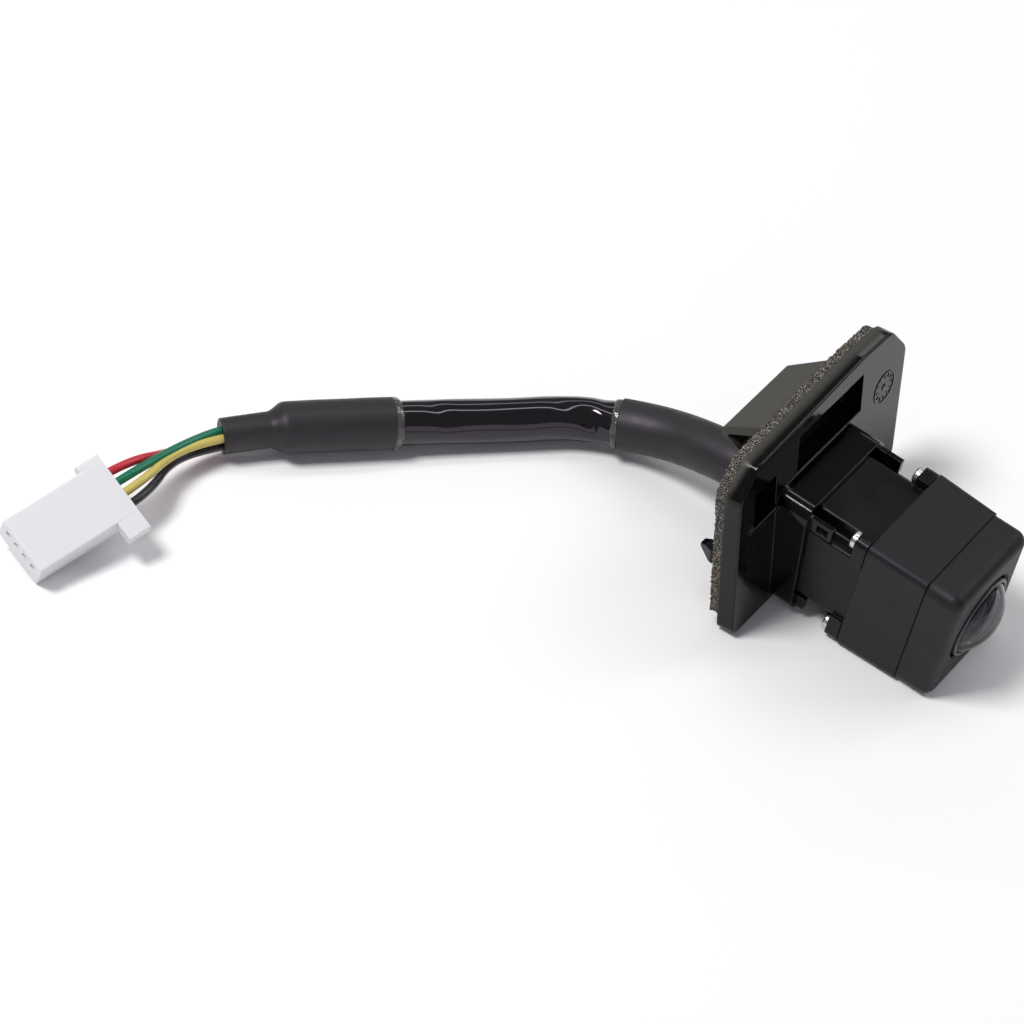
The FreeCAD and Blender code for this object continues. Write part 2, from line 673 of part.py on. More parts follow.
def hook_space(side, y0):
    """The room that a hook's beam and barb need behind y0, with its bending inwards."""
    x, out = HOOKS[side]
    inward = x - out * (HOOK_T / 2 + BARB_REACH)
    outward = x + out * (HOOK_T / 2 + (BARB_REACH if y0 > WEB_T else 0.0) + CLEAR)
    x0, x1 = sorted((inward, outward))
    return slab(x0, x1, y0, 30, HOOK_Z[0] - CLEAR, HOOK_Z[1] + CLEAR)


def make_foam_gasket():
    """Follows the rim, and is cut out for the hood, the neck and the hooks."""
    ring = ring_face(-FOAM_INSET, SEAT_W - 0.3).extrude(Vector(0, FOAM_T, 0))
    ring.translate(Vector(0, RIM_DEPTH, 0))
    x0, x1, z0, z1 = WINDOW
    edge = HOOD_WALL + CLEAR
    hood = slab(x0 - edge, x1 + edge, 0, 20, z0 - 1, z1 + edge)
    neck = unsettle(block(NECK_W + 2 * CLEAR, NECK_H + 2 * CLEAR, 0, 40))
    floor = slab(-5, 70, 0, 20, -5, FOAM_FOOT)
    ring = ring.cut(floor).cut(hood).cut(neck)
    for side in HOOKS:
        ring = ring.cut(hook_space(side, RIM_DEPTH))
    return ring


def make_snap_hook(side):
    """A short beam with a barb; its root is round, so that it can turn a little."""
    x, out = HOOKS[side]
    half = HOOK_T / 2
    low, high = HOOK_Z
    root = Part.makeCylinder(half, high - low, Vector(x, HOOK_PIVOT_Y, low), Z_AXIS)
    beam = slab(x - half, x + half, HOOK_PIVOT_Y, HOOK_TIP_Y - 0.6, low, high)
    inner, outer, tip = x - half * out, x + half * out, x + (half + BARB_REACH) * out
    corners = [(inner, HOOK_TIP_Y), (outer, HOOK_TIP_Y), (tip, HOOK_TIP_Y - 3.0),
               (tip, HOOK_TIP_Y - 3.6), (outer, HOOK_TIP_Y - 3.9), (inner, HOOK_TIP_Y - 3.9)]
    arrow = [(0, low), (HOOK_TIP_Y - 2.4, low), (HOOK_TIP_Y, high - 1.5), (HOOK_TIP_Y, high - 0.7),
             (HOOK_TIP_Y - 1.6, high), (0, high)]
    whole = fused([root, beam, prism_z(corners, low, high)])
    return whole.common(prism_x(arrow, x - 5, x + 5))


def make_retaining_tabs():
    """Four tabs on the collar's lip; the upper two have a blind window."""
    tabs = []
    inner = COLLAR_W / 2 - COLLAR_WALL
    for side in (-1, 1):
        face = HEAD_X + side * inner
        x0, x1 = sorted((face, face - side * 1.1))
        upper = slab(x0, x1, 1.6, 11.0, 22.8, 25.9)
        pocket = (face - side * TAB_SKIN, face + side)
        window = slab(min(pocket), max(pocket), 2.6, 5.0, 23.5, 25.2)
        lower = slab(x0, x1, 2.6, 9.0, 2.5, 5.2)
        tabs += [upper.cut(window), lower]
    return Part.makeCompound(tabs)


# ---- plug ---------------------------------------------------------------------------------
def plug_place(shape):
    """From the plug's own frame (x from its rear to its mating face, z to its lever side)."""
    turn = FreeCAD.Rotation(*PLUG_TURN)
    half = turn.multVec(Vector(PLUG_L / 2, 0, 0))
    placed = shape.copy()
    placed.Placement = FreeCAD.Placement(PLUG_CENTRE - half, turn).multiply(placed.Placement)
    return placed


def way_y(n):
    return (n - (WAYS - 1) / 2) * PITCH


def make_plug_housing():
    body = slab(0, PLUG_L, -PLUG_W / 2, PLUG_W / 2, -PLUG_T / 2, PLUG_T / 2)
    body = body.makeFillet(0.35, edges_along(body, X_AXIS))
    face = -PLUG_T / 2 + 0.05
    flange = slab(0, FLANGE_L, *FLANGE_Y, face, face + FLANGE_T)
    flange = flange.makeFillet(0.4, edges_along(flange, X_AXIS))
    housing = fused([body, flange])
    bay = LEVER_W / 2 + LEVER_GAP
    housing = housing.cut(slab(-1, 10.0, -bay, bay, 0.75, 6))
    retainer = RETAINER_Y + 0.1
    housing = housing.cut(slab(10.9, 13.1, -retainer, retainer, 1.4, 6))
    for n in range(WAYS):
        y = way_y(n)
        for x0, x1, half in ((1.6, PLUG_L - 1.2, CAVITY_HALF), (PLUG_L - 2, PLUG_L + 1, MOUTH_HALF)):
            housing = housing.cut(slab(x0, x1, y - half, y + half, CAVITY_Z - half, CAVITY_Z + half))
        hole = Part.makeCylinder(WIRE_D / 2 + 0.1, 3, Vector(-0.5, y, CAVITY_Z), X_AXIS)
        housing = housing.cut(hole)
    return housing


def make_plug_lever():
    """Lock lever, hinged at its front end; its rear end is pressed to free the plug."""
    px, py, pz = LEVER_PIVOT
    half = LEVER_W / 2
    pivot = Part.makeCylinder(0.5, LEVER_W, Vector(px, -half, pz), Y_AXIS)
    arm = slab(1.0, px, -half, half, pz - 0.5, pz + 0.5)
    pad = slab(0.4, 3.0, -half, half, pz - 0.5, pz + 1.35)
    pad = pad.makeFillet(0.35, edges_along(pad, Y_AXIS))
    catch = prism_y([(4.6, pz + 0.4), (7.2, pz + 0.4), (4.6, pz + 1.15)], -1.6, 1.6)
    return fused([pivot, arm, pad, catch])


def make_plug_retainer():
    return slab(11.0, 13.0, -RETAINER_Y, RETAINER_Y, 1.45, PLUG_T / 2 + 0.15)


def make_plug_terminals():
    """Crimp sockets: a box with a slot for the tab, and a barrel on the wire."""
    terminals = []
    start, end = TERMINAL_X
    for n in range(WAYS):
        y = way_y(n)
        box = slab(start + 4, end, y - 0.8, y + 0.8, CAVITY_Z - 0.8, CAVITY_Z + 0.8)
        box = box.cut(slab(start + 5, end + 1, y - 0.4, y + 0.4, CAVITY_Z - 0.3, CAVITY_Z + 0.3))
        barrel = Part.makeCylinder(0.75, 4.2, Vector(start, y, CAVITY_Z), X_AXIS)
        terminals.append(fused([box, barrel]))
    return Part.makeCompound(terminals)


def main():
    os.makedirs("parts", exist_ok=True)
    export("front_cover", make_front_cover())
    export("middle_case", make_middle_case())
    export("rear_body", make_rear_body())
    export("front_seal", make_front_seal())
    export("rear_seal", make_rear_seal())
    export("case_screws", make_case_screws())
    export("lens_dome", make_lens_dome())
    export("lens_ring", make_lens_ring())
    export("lens_barrel", make_lens_barrel())
    export("lens_elements", make_lens_elements())
    export("lens_seal", make_lens_seal())
    export("lens_holder", make_lens_holder())
    export("sensor_board", make_board(SENSOR_BOARD_Y))
    export("processor_board", make_board(PROCESSOR_BOARD_Y))
    export("board_spacers", make_board_spacers())
    export("board_screws", make_board_screws())
    export("image_sensor", make_image_sensor())
    export("infrared_filter", make_infrared_filter())
    export("board_header", make_board_header())
    export("processor_chip", make_processor_chip())
    export("wire_socket", make_wire_socket())
    export("internal_leads", make_internal_leads())
    export("bracket", settle(make_bracket()))
    export("foam_gasket", settle(make_foam_gasket()))
    export("retaining_tabs", make_retaining_tabs())
    for side in HOOKS:
        export("snap_hook_" + side, settle(make_snap_hook(side)))
    export("cable_grommet", make_cable_grommet())
    route = route_wire(CABLE_ROUTE, "cable route")
    tube_solid = make_cable_tube(route)
    print("cable volume / (section x length) = %.4f" % (
        tube_solid.Volume / (math.pi * CABLE_D ** 2 / 4 * TUBE_END)))
    export("cable_tube", tube_solid)
    export("shrink_sleeve_camera_end", make_first_sleeve(route))
    export("shrink_sleeve_plug_end", make_second_sleeve(route))
    export("adhesive_beads", make_adhesive_beads(route))
    for colour, points in WIRE_ROUTES.items():
        export("wire_" + colour, run_tube(points, WIRE_D, "wire_" + colour))
    export("plug_housing", plug_place(make_plug_housing()))
    export("plug_lever", plug_place(make_plug_lever()))
    export("plug_retainer", plug_place(make_plug_retainer()))
    export("plug_terminals", plug_place(make_plug_terminals()))


main()
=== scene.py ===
import json
import math

import bmesh
import bpy
from mathutils import Matrix, Vector, noise


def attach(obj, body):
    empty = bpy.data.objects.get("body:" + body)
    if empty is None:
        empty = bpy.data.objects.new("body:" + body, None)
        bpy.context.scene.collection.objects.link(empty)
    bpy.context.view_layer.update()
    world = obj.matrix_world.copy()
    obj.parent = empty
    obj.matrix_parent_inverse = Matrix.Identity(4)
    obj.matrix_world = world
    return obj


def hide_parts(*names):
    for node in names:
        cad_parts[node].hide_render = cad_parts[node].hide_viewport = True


# Flush-mount rear-view camera with a snap-in bracket, a foam gasket and a short pigtail.
# Metres, in the CAD frame: +Z up, the lens looks along -Y, Z = 0 is the floor.

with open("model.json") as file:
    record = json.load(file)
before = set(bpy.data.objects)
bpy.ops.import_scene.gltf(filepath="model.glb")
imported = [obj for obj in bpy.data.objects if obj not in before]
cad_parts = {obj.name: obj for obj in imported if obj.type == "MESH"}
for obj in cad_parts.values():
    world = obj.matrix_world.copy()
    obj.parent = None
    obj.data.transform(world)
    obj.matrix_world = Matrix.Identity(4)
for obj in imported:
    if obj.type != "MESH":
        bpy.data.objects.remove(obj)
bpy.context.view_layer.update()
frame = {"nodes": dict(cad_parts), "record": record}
MM = 0.001
ROOT = "camera_and_bracket"

# ---- driving values -----------------------------------------------------------------------
CABLE_D = 0.0089
SLEEVE_D = 0.0103
SLEEVE_TAIL_D = 0.0074
WIRE_D = 0.0017
TUBE_END = 0.1038                    # distances along the cable's route
FIRST_SLEEVE = (0.0076, 0.0396)
SECOND_SLEEVE = (0.0849, 0.1072)
TAPER = 0.0034                       # sleeve's step down from cable to wires
# creases in the jacket: distance along the cable, angle round it, half length, depth
CREASES = ((0.0455, -0.95, 0.0022, 0.0008), (0.0505, -0.25, 0.0026, 0.0005),
           (0.0425, 0.15, 0.0016, 0.0004), (0.0760, -0.30, 0.0022, 0.0003))
CREASE_SPREAD = 0.7                  # radians
BEAD_L = 0.0014                      # hot-melt squeezed out of a sleeve
JACKET_SEGMENTS = 72                 # faces round the jacket and the sleeves
BEAD_SEGMENTS = 64
PLATE_X = -0.0287                    # the plate's lower left corner
PLATE_Y = 0.0092
RIM_DEPTH = 0.0036
LEAN = math.radians(10.3)            # the bracket leans back by this much
PLATE_FRAME = (Matrix.Translation((PLATE_X, PLATE_Y, RIM_DEPTH * math.sin(LEAN)))
               @ Matrix.Rotation(-LEAN, 4, "X"))
HOOD_FROM = 0.0175                   # the hood's matte skin and painted sheen begin here, along Y
HOOD_LOW = 0.026                     # and here, along Z
HOOD_BLEND = 0.002
DIAL = (0.0499, 0.0276)              # mould date dial's centre on the plate, from its left foot
DIAL_R = 0.0036
DIAL_RELIEF = 0.00014
DIAL_TICKS = 12
TICK_HALF_ANGLE = 0.035
FOAM_VOXEL = 0.00026
PORE = 0.00075
PIT_DEPTH = 0.00034
AXIS = (-0.0026, 0.0141)             # optical axis, x and z
TURNS = 96                           # faces round a turned piece
# sections of the turned pieces: radius and y in mm
BAFFLE = ((5.75, -25.6), (5.75, -26.35), (5.2, -26.35), (5.05, -26.05), (4.5, -26.05), (4.35, -25.85),
          (3.75, -25.85), (3.7, -26.5), (3.4, -26.5), (3.4, -25.6))
ELEMENT = ((0, -27.05), (0.9, -27.0), (1.7, -26.86), (2.5, -26.62), (3.1, -26.33), (3.3, -26.15),
           (3.3, -25.9), (0, -25.9))
EDGE_ROUND = 0.0002                  # soft edges of the moulded plastics
GRAIN = 0.00035
GLOSS_ROUGH = 0.09
FLOOR_HALF = 4.0
FLOOR_DROP = 0.0002
COOL = (0.97, 0.88, 1.0, 1)          # tint of the plastics' reflections
WORLD_STRENGTH = 0.2
KEY_POWER = 12.0
FILL_POWER = 3.0
NEAR_STRIP_POWER = 1.8
FAR_STRIP_POWER = 0.8
CARD_POWER = 1.5
LIGHT_TARGET = (-0.03, 0.03, 0.01)
STRIP_TARGET = (-0.03, 0.075, 0.01)
STRIP_SIZE = (0.09, 1.2)

CAMERA_AT = (-0.49149, -0.16826, 0.56978)
CAMERA_RIGHT = (0.5870, -0.7943, 0.1568)
CAMERA_UP = (0.5445, 0.5306, 0.6496)
CAMERA_LENS = 140.625                # on a 36 mm sensor

CABLE_ROUTE = [(-0.0026, 0.0160, 0.0141), (-0.0026, 0.0256, 0.0141), (-0.0019, 0.0350, 0.0119),
               (-0.0013, 0.0444, 0.0083), (-0.0037, 0.0539, 0.0059), (-0.0088, 0.0627, 0.0049),
               (-0.0177, 0.0708, 0.0047), (-0.0264, 0.0788, 0.0050), (-0.0357, 0.0869, 0.0055),
               (-0.0449, 0.0953, 0.0056), (-0.0530, 0.1026, 0.0054), (-0.0606, 0.1083, 0.0048)]
WIRE_ROUTES = {
    "red": [(-0.0536, 0.1037, 0.0044), (-0.0595, 0.1088, 0.0038), (-0.0709, 0.1120, 0.0056),
            (-0.0826, 0.1140, 0.0111), (-0.0902, 0.1158, 0.0099)],
    "green": [(-0.0537, 0.1044, 0.0065), (-0.0597, 0.1088, 0.0060), (-0.0709, 0.1112, 0.0076),
              (-0.0830, 0.1117, 0.0103), (-0.0906, 0.1134, 0.0091)],
    "yellow": [(-0.0549, 0.1027, 0.0062), (-0.0608, 0.1072, 0.0057), (-0.0717, 0.1110, 0.0072),
               (-0.0834, 0.1093, 0.0096), (-0.0910, 0.1111, 0.0083)],
    "black": [(-0.0549, 0.1026, 0.0042), (-0.0609, 0.1070, 0.0037), (-0.0718, 0.1114, 0.0048),
              (-0.0838, 0.1070, 0.0088), (-0.0914, 0.1087, 0.0076)]}
WIRE_COLOURS = {"red": (0.56, 0.02, 0.035, 1), "green": (0.0, 0.17, 0.085, 1),
                "yellow": (0.62, 0.52, 0.13, 1), "black": (0.012, 0.012, 0.013, 1)}


# ---- camera -------------------------------------------------------------------------------
def make_camera():
    data = bpy.data.cameras.new("photo_camera")
    data.sensor_width = 36.0
    data.lens = CAMERA_LENS
    data.clip_start, data.clip_end = 0.05, 10.0
    camera = bpy.data.objects.new("photo_camera", data)
    right, up = Vector(CAMERA_RIGHT).normalized(), Vector(CAMERA_UP).normalized()
    back = right.cross(up).normalized()
    axes = Matrix((right, back.cross(right), back)).transposed().to_4x4()
    camera.matrix_world = Matrix.Translation(CAMERA_AT) @ axes
    bpy.context.scene.collection.objects.link(camera)
    bpy.context.scene.camera = camera


# ---- materials: helpers -------------------------------------------------------------------
def new_material(name, **sockets):
    """A principled material; keyword Base_Color sets the socket "Base Color"."""
    material = bpy.data.materials.new(name)
    material.use_nodes = True
    shader = material.node_tree.nodes["Principled BSDF"]
    for key, value in sockets.items():
        shader.inputs[key.replace("_", " ")].default_value = value
    return material, shader


def pattern(material, kind, size, **sockets):
    """A 3-D texture whose features are about size metres across."""
    nodes, links = material.node_tree.nodes, material.node_tree.links
    place = nodes.new("ShaderNodeTexCoord")
    texture = nodes.new(kind)
    texture.inputs["Scale"].default_value = 1.0 / size
    for key, value in sockets.items():
        texture.inputs[key.replace("_", " ")].default_value = value
    links.new(place.outputs["Object"], texture.inputs["Vector"])
    return texture


def noise_of(material, size, detail=4.0):
    return pattern(material, "ShaderNodeTexNoise", size, Detail=detail).outputs["Fac"]


def mapped(material, value, low, high, start=0.3, end=0.7):
    """The value, moved from start..end to low..high."""
    node = material.node_tree.nodes.new("ShaderNodeMapRange")
    node.inputs["From Min"].default_value = start
    node.inputs["From Max"].default_value = end
    node.inputs["To Min"].default_value = low
    node.inputs["To Max"].default_value = high
    material.node_tree.links.new(value, node.inputs["Value"])
    return node.outputs["Result"]


def blend_colours(material, factor, first, second):
    node = material.node_tree.nodes.new("ShaderNodeMix")
    node.data_type = "RGBA"
    node.inputs["A"].default_value = first
    node.inputs["B"].default_value = second
    material.node_tree.links.new(factor, node.inputs["Factor"])
    return node.outputs["Result"]


def set_colour(material, shader, factor, first, second):
    links = material.node_tree.links
    links.new(blend_colours(material, factor, first, second), shader.inputs["Base Color"])


def set_roughness(material, shader, factor, low, high):
    links = material.node_tree.links
    links.new(mapped(material, factor, low, high), shader.inputs["Roughness"])


def set_bump(material, shader, heights, depth, edge=0.0):
    """Bumps from several heights, one on top of the other, over edges that are rounded by
    edge; depth and edge in metres."""
    nodes, links = material.node_tree.nodes, material.node_tree.links
    below = None
    if edge:
        soften = nodes.new("ShaderNodeBevel")
        soften.samples = 6
        soften.inputs["Radius"].default_value = edge
        below = soften.outputs["Normal"]
    for height, strength in heights:
        bump = nodes.new("ShaderNodeBump")
        bump.inputs["Strength"].default_value = strength
        bump.inputs["Distance"].default_value = depth
        links.new(height, bump.inputs["Height"])
        if below is not None:
            links.new(below, bump.inputs["Normal"])
        below = bump.outputs["Normal"]
    links.new(below, shader.inputs["Normal"])


def grey(value, warm=0.0):
    return (value * (1 + warm), value, value * (1 - warm), 1.0)


# ---- materials ----------------------------------------------------------------------------
def textured_plastic(name, base, rough, depth=0.00003, level=0.5):
    """Spark-eroded moulding: fine even grain, slightly uneven sheen."""
    material, shader = new_material(name, Specular_Tint=COOL, Specular_IOR_Level=level)
    fine, cloud = noise_of(material, GRAIN, 3.0), noise_of(material, 0.006)
    set_colour(material, shader, cloud, grey(base * 0.85), grey(base * 1.15))
    set_roughness(material, shader, cloud, rough - 0.05, rough + 0.05)
    set_bump(material, shader, [(fine, 0.8)], depth, EDGE_ROUND)
    return material


def gloss_plastic(name, base):
    """Polished moulding: faint flow ripple and fine scratches; the hood behind the plate is
    matte, as it comes from an unpolished tool, and painted greyish there as a painted sheen."""
    material, shader = new_material(name, Specular_IOR_Level=0.28, IOR=1.5)
    nodes, links = material.node_tree.nodes, material.node_tree.links
    place = nodes.new("ShaderNodeTexCoord")
    axes = nodes.new("ShaderNodeSeparateXYZ")
    links.new(place.outputs["Object"], axes.inputs["Vector"])
    rear = mapped(material, axes.outputs["Y"], 0.0, 1.0, HOOD_FROM, HOOD_FROM + HOOD_BLEND)
    high = mapped(material, axes.outputs["Z"], 0.0, 1.0, HOOD_LOW, HOOD_LOW + HOOD_BLEND)
    both = nodes.new("ShaderNodeMath")
    both.operation = "MULTIPLY"
    links.new(rear, both.inputs[0])
    links.new(high, both.inputs[1])
    behind = both.outputs["Value"]
    cloud = noise_of(material, 0.004, 2.0)
    scratches = pattern(material, "ShaderNodeTexNoise", 0.0007, Detail=6.0, Distortion=1.5)
    marks = mapped(material, scratches.outputs["Fac"], 0.0, 1.0, 0.58, 0.75)
    front = blend_colours(material, cloud, grey(base * 0.8), grey(base * 1.3))
    # painted sheen: the hood's upper part behind the plate is painted greyish for the light it catches
    tint = nodes.new("ShaderNodeMix")
    tint.data_type = "RGBA"
    tint.inputs["B"].default_value = (0.05, 0.05, 0.041, 1)
    links.new(front, tint.inputs["A"])
    links.new(behind, tint.inputs["Factor"])
    links.new(tint.outputs["Result"], shader.inputs["Base Color"])
    worn = mapped(material, marks, GLOSS_ROUGH, GLOSS_ROUGH + 0.22, 0.0, 1.0)
    matte = nodes.new("ShaderNodeMath")
    matte.operation = "MULTIPLY_ADD"
    links.new(behind, matte.inputs[0])
    matte.inputs[1].default_value = 0.45
    links.new(worn, matte.inputs[2])
    links.new(matte.outputs["Value"], shader.inputs["Roughness"])
    set_bump(material, shader, [(cloud, 0.25), (scratches.outputs["Fac"], 0.05)], 0.00006, 0.0003)
    return material


def rubber(name, base, rough=0.6):
    material, shader = new_material(name, Specular_IOR_Level=0.35)
    fine, cloud = noise_of(material, 0.0004), noise_of(material, 0.004)
    set_colour(material, shader, cloud, grey(base * 0.8), grey(base * 1.3))
    set_roughness(material, shader, fine, rough - 0.08, rough + 0.08)
    set_bump(material, shader, [(fine, 0.5)], 0.00004)
    return material


def plated_metal(name, base, rough=0.25, warm=0.03):
    """Plated steel or brass: brushed marks and dull specks."""
    material, shader = new_material(name, Metallic=1.0)
    streak = pattern(material, "ShaderNodeTexNoise", 0.0003, Detail=5.0, Distortion=0.8)
    cloud = noise_of(material, 0.0015)
    set_colour(material, shader, cloud, grey(base * 0.8, warm=warm), grey(base * 1.1, warm=warm))
    set_roughness(material, shader, streak.outputs["Fac"], rough - 0.1, rough + 0.15)
    set_bump(material, shader, [(streak.outputs["Fac"], 0.3)], 0.00002)
    return material


def clear_glass(name, tint, bend=1.5):
    """Tinted glass with a reflecting coat and faint dust; bend is its index of refraction."""
    material, shader = new_material(name, Base_Color=tint, Transmission_Weight=1.0, IOR=bend,
                                    Coat_Weight=0.6, Coat_Roughness=0.01)
    dust = noise_of(material, 0.0009, 8.0)
    links = material.node_tree.links
    links.new(mapped(material, dust, 0.0, 0.12, 0.62, 0.8), shader.inputs["Roughness"])
    return material


def board_material(name):
    """Green solder mask with copper tracks under it."""
    material, shader = new_material(name, Roughness=0.35, Specular_IOR_Level=0.5)
    tracks = pattern(material, "ShaderNodeTexBrick", 0.004)
    set_colour(material, shader, tracks.outputs["Fac"], (0.02, 0.13, 0.05, 1), (0.05, 0.26, 0.11, 1))
    set_bump(material, shader, [(tracks.outputs["Fac"], 0.4)], 0.00003)
    return material


def nylon(name):
    """Natural nylon: slightly translucent, with faint flow lines and sink marks."""
    base = 0.74
    material, shader = new_material(name, Subsurface_Weight=0.35, Subsurface_Scale=0.0012,
                                    Subsurface_Radius=(1.0, 0.95, 0.9), Specular_IOR_Level=0.4)
    cloud, fine = noise_of(material, 0.005), noise_of(material, 0.0006)
    set_colour(material, shader, cloud, (base * 0.97, base * 0.96, base, 1), (base, base, base, 1))
    set_roughness(material, shader, fine, 0.32, 0.5)
    set_bump(material, shader, [(cloud, 0.3), (fine, 0.12)], 0.00008, 0.00025)
    return material


def foam_material(name):
    """Open-cell foam: pale strands round pores painted near black as painted shade, with pale specks
    that are painted glints.
    """
    material, shader = new_material(name, Roughness=0.9, Specular_IOR_Level=0.15)
    cells = pattern(material, "ShaderNodeTexVoronoi", 0.00048, Randomness=1.0)
    cells.feature = "DISTANCE_TO_EDGE"
    glints = noise_of(material, 0.00024, 2.0)
    strand = mapped(material, cells.outputs["Distance"], 1.0, 0.0, 0.02, 0.2)
    links = material.node_tree.links
    # painted shade: the pores, the cells' middles, are painted near black
    strands_and_painted_pore_shade = blend_colours(material, strand, (0.012, 0.01, 0.009, 1), (0.17, 0.15, 0.13, 1))
    # painted glints: pale specks mixed in by noise
    painted_glint_mix = material.node_tree.nodes.new("ShaderNodeMix")
    painted_glint_mix.data_type = "RGBA"
    painted_glint_mix.inputs["B"].default_value = (0.75, 0.7, 0.62, 1)
    links.new(mapped(material, glints, 0.0, 0.9, 0.56, 0.68), painted_glint_mix.inputs["Factor"])
    links.new(strands_and_painted_pore_shade, painted_glint_mix.inputs["A"])
    links.new(painted_glint_mix.outputs["Result"], shader.inputs["Base Color"])
    set_bump(material, shader, [(strand, 1.0)], 0.0002)
    return material


def shrink_sleeve_material(name):
    """Heat-shrink tubing: satin, with stretch lines and small scuffs."""
    material, shader = new_material(name, Specular_Tint=COOL, Specular_IOR_Level=0.4)
    fine, cloud = noise_of(material, 0.00025), noise_of(material, 0.003)
    scuff = mapped(material, noise_of(material, 0.0012, 6.0), 0.0, 1.0, 0.64, 0.8)
    set_colour(material, shader, scuff, grey(0.019), grey(0.04))
    set_roughness(material, shader, cloud, 0.42, 0.56)
    set_bump(material, shader, [(cloud, 0.35), (fine, 0.25)], 0.00006)
    return material


def jacket_material(name):
    """Soft glossy vinyl tube."""
    material, shader = new_material(name, Specular_Tint=COOL, Specular_IOR_Level=0.6)
    cloud, fine = noise_of(material, 0.009, 1.0), noise_of(material, 0.0005, 6.0)
    set_colour(material, shader, cloud, grey(0.003), grey(0.006))
    set_roughness(material, shader, fine, 0.05, 0.12)
    set_bump(material, shader, [(cloud, 0.35)], 0.00015)
    return material


def coated_glass(name):
    """Front element: nearly black, with a violet coating and faint dust."""
    material, shader = new_material(name, Coat_Weight=1.0, Coat_Tint=(0.75, 0.6, 0.9, 1),
                                    Coat_Roughness=0.02, Specular_IOR_Level=0.7)
    cloud, dust = noise_of(material, 0.003), noise_of(material, 0.0004, 6.0)
    set_colour(material, shader, cloud, (0.035, 0.028, 0.045, 1), (0.07, 0.058, 0.085, 1))
    set_roughness(material, shader, dust, 0.05, 0.2)
    return material


def adhesive_material(name):
    """Clear hot-melt, whitish where it is thick."""
    material, shader = new_material(name, Transmission_Weight=0.92, IOR=1.45)
    cloud = noise_of(material, 0.0007)
    set_colour(material, shader, cloud, (0.5, 0.49, 0.46, 1), (0.85, 0.84, 0.8, 1))
    set_roughness(material, shader, cloud, 0.04, 0.2)
    set_bump(material, shader, [(cloud, 0.6)], 0.0001)
    return material


def wire_material(colour):
    material, shader = new_material("wire_" + colour, Specular_IOR_Level=0.5)
    base = WIRE_COLOURS[colour]
    dull = (base[0] * 0.75, base[1] * 0.75, base[2] * 0.75, 1)
    cloud, fine = noise_of(material, 0.0025), noise_of(material, 0.0002)
    set_colour(material, shader, cloud, dull, base)
    set_roughness(material, shader, fine, 0.2, 0.36)
    set_bump(material, shader, [(fine, 0.25)], 0.00002)
    return material


def make_materials():
    """One material for each slot in the record."""
    made = {
        "cover_plastic": textured_plastic("cover_plastic", 0.008, 0.5, level=0.32),
        "case_plastic": textured_plastic("case_plastic", 0.006, 0.47, level=0.32),
        "neck_plastic": textured_plastic("neck_plastic", 0.003, 0.3, depth=0.000015, level=0.25),
        "seal_rubber": rubber("seal_rubber", 0.006),
        "screw_steel": plated_metal("screw_steel", 0.66),
        "lens_glass": clear_glass("lens_glass", (0.36, 0.35, 0.38, 1), bend=1.08),
        "ring_plastic": textured_plastic("ring_plastic", 0.03, 0.3, depth=0.00001),
        "barrel_metal": textured_plastic("barrel_metal", 0.006, 0.35, depth=0.00001),
        "holder_plastic": textured_plastic("holder_plastic", 0.03, 0.5),
        "circuit_board": board_material("circuit_board"),
        "chip": textured_plastic("chip", 0.02, 0.45),
        "filter_glass": clear_glass("filter_glass", (0.6, 0.8, 0.85, 1)),
        "plug_nylon": nylon("plug_nylon"),
        "lead_black": rubber("lead_black", 0.015, 0.4),
        "bracket_gloss": gloss_plastic("bracket_gloss", 0.002),
        "gasket_foam": foam_material("gasket_foam"),
        "grommet_rubber": rubber("grommet_rubber", 0.015),
        "cable_jacket": jacket_material("cable_jacket"),
        "shrink_sleeve": shrink_sleeve_material("shrink_sleeve"),
        "adhesive": adhesive_material("adhesive"),
        "terminal_brass": plated_metal("terminal_brass", 0.6, 0.3, warm=0.25),
    }
    for colour in WIRE_COLOURS:
        made["wire_" + colour] = wire_material(colour)
    return made


def dress(piece, slot, materials):
    piece.data.materials.clear()
    piece.data.materials.append(materials[slot])
    return piece


# ---- meshes: helpers ----------------------------------------------------------------------
def add_object(name, data):
    piece = bpy.data.objects.new(name, data)
    bpy.context.scene.collection.objects.link(piece)
    return piece


def finish_piece(piece, slot, materials, *nodes):
    """Gives a new piece its finish and its body, and hides the CAD nodes that it stands for."""
    dress(piece, slot, materials)
    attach(piece, ROOT)
    if nodes:
        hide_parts(*nodes)
    return piece


def mesh_from(name, build):
    """A smooth-shaded mesh object made by build(bmesh)."""
    bm = bmesh.new()
    build(bm)
    bmesh.ops.recalc_face_normals(bm, faces=bm.faces)
    for face in bm.faces:
        face.smooth = True
    mesh = bpy.data.meshes.new(name)
    bm.to_mesh(mesh)
    bm.free()
    return add_object(name, mesh)


def nurbs_route(name, points, bevel=0.0):
    """A smooth curve with the route's points as its control points."""
    curve = bpy.data.curves.new(name, "CURVE")
    curve.dimensions = "3D"
    curve.resolution_u = 32
    spline = curve.splines.new("NURBS")
    spline.points.add(len(points) - 1)
    for control, point in zip(spline.points, points):
        control.co = (*point, 1.0)
    spline.order_u = 3
    spline.use_endpoint_u = True
    curve.bevel_depth = bevel
    curve.bevel_resolution = 8
    curve.use_fill_caps = True
    return add_object(name, curve)


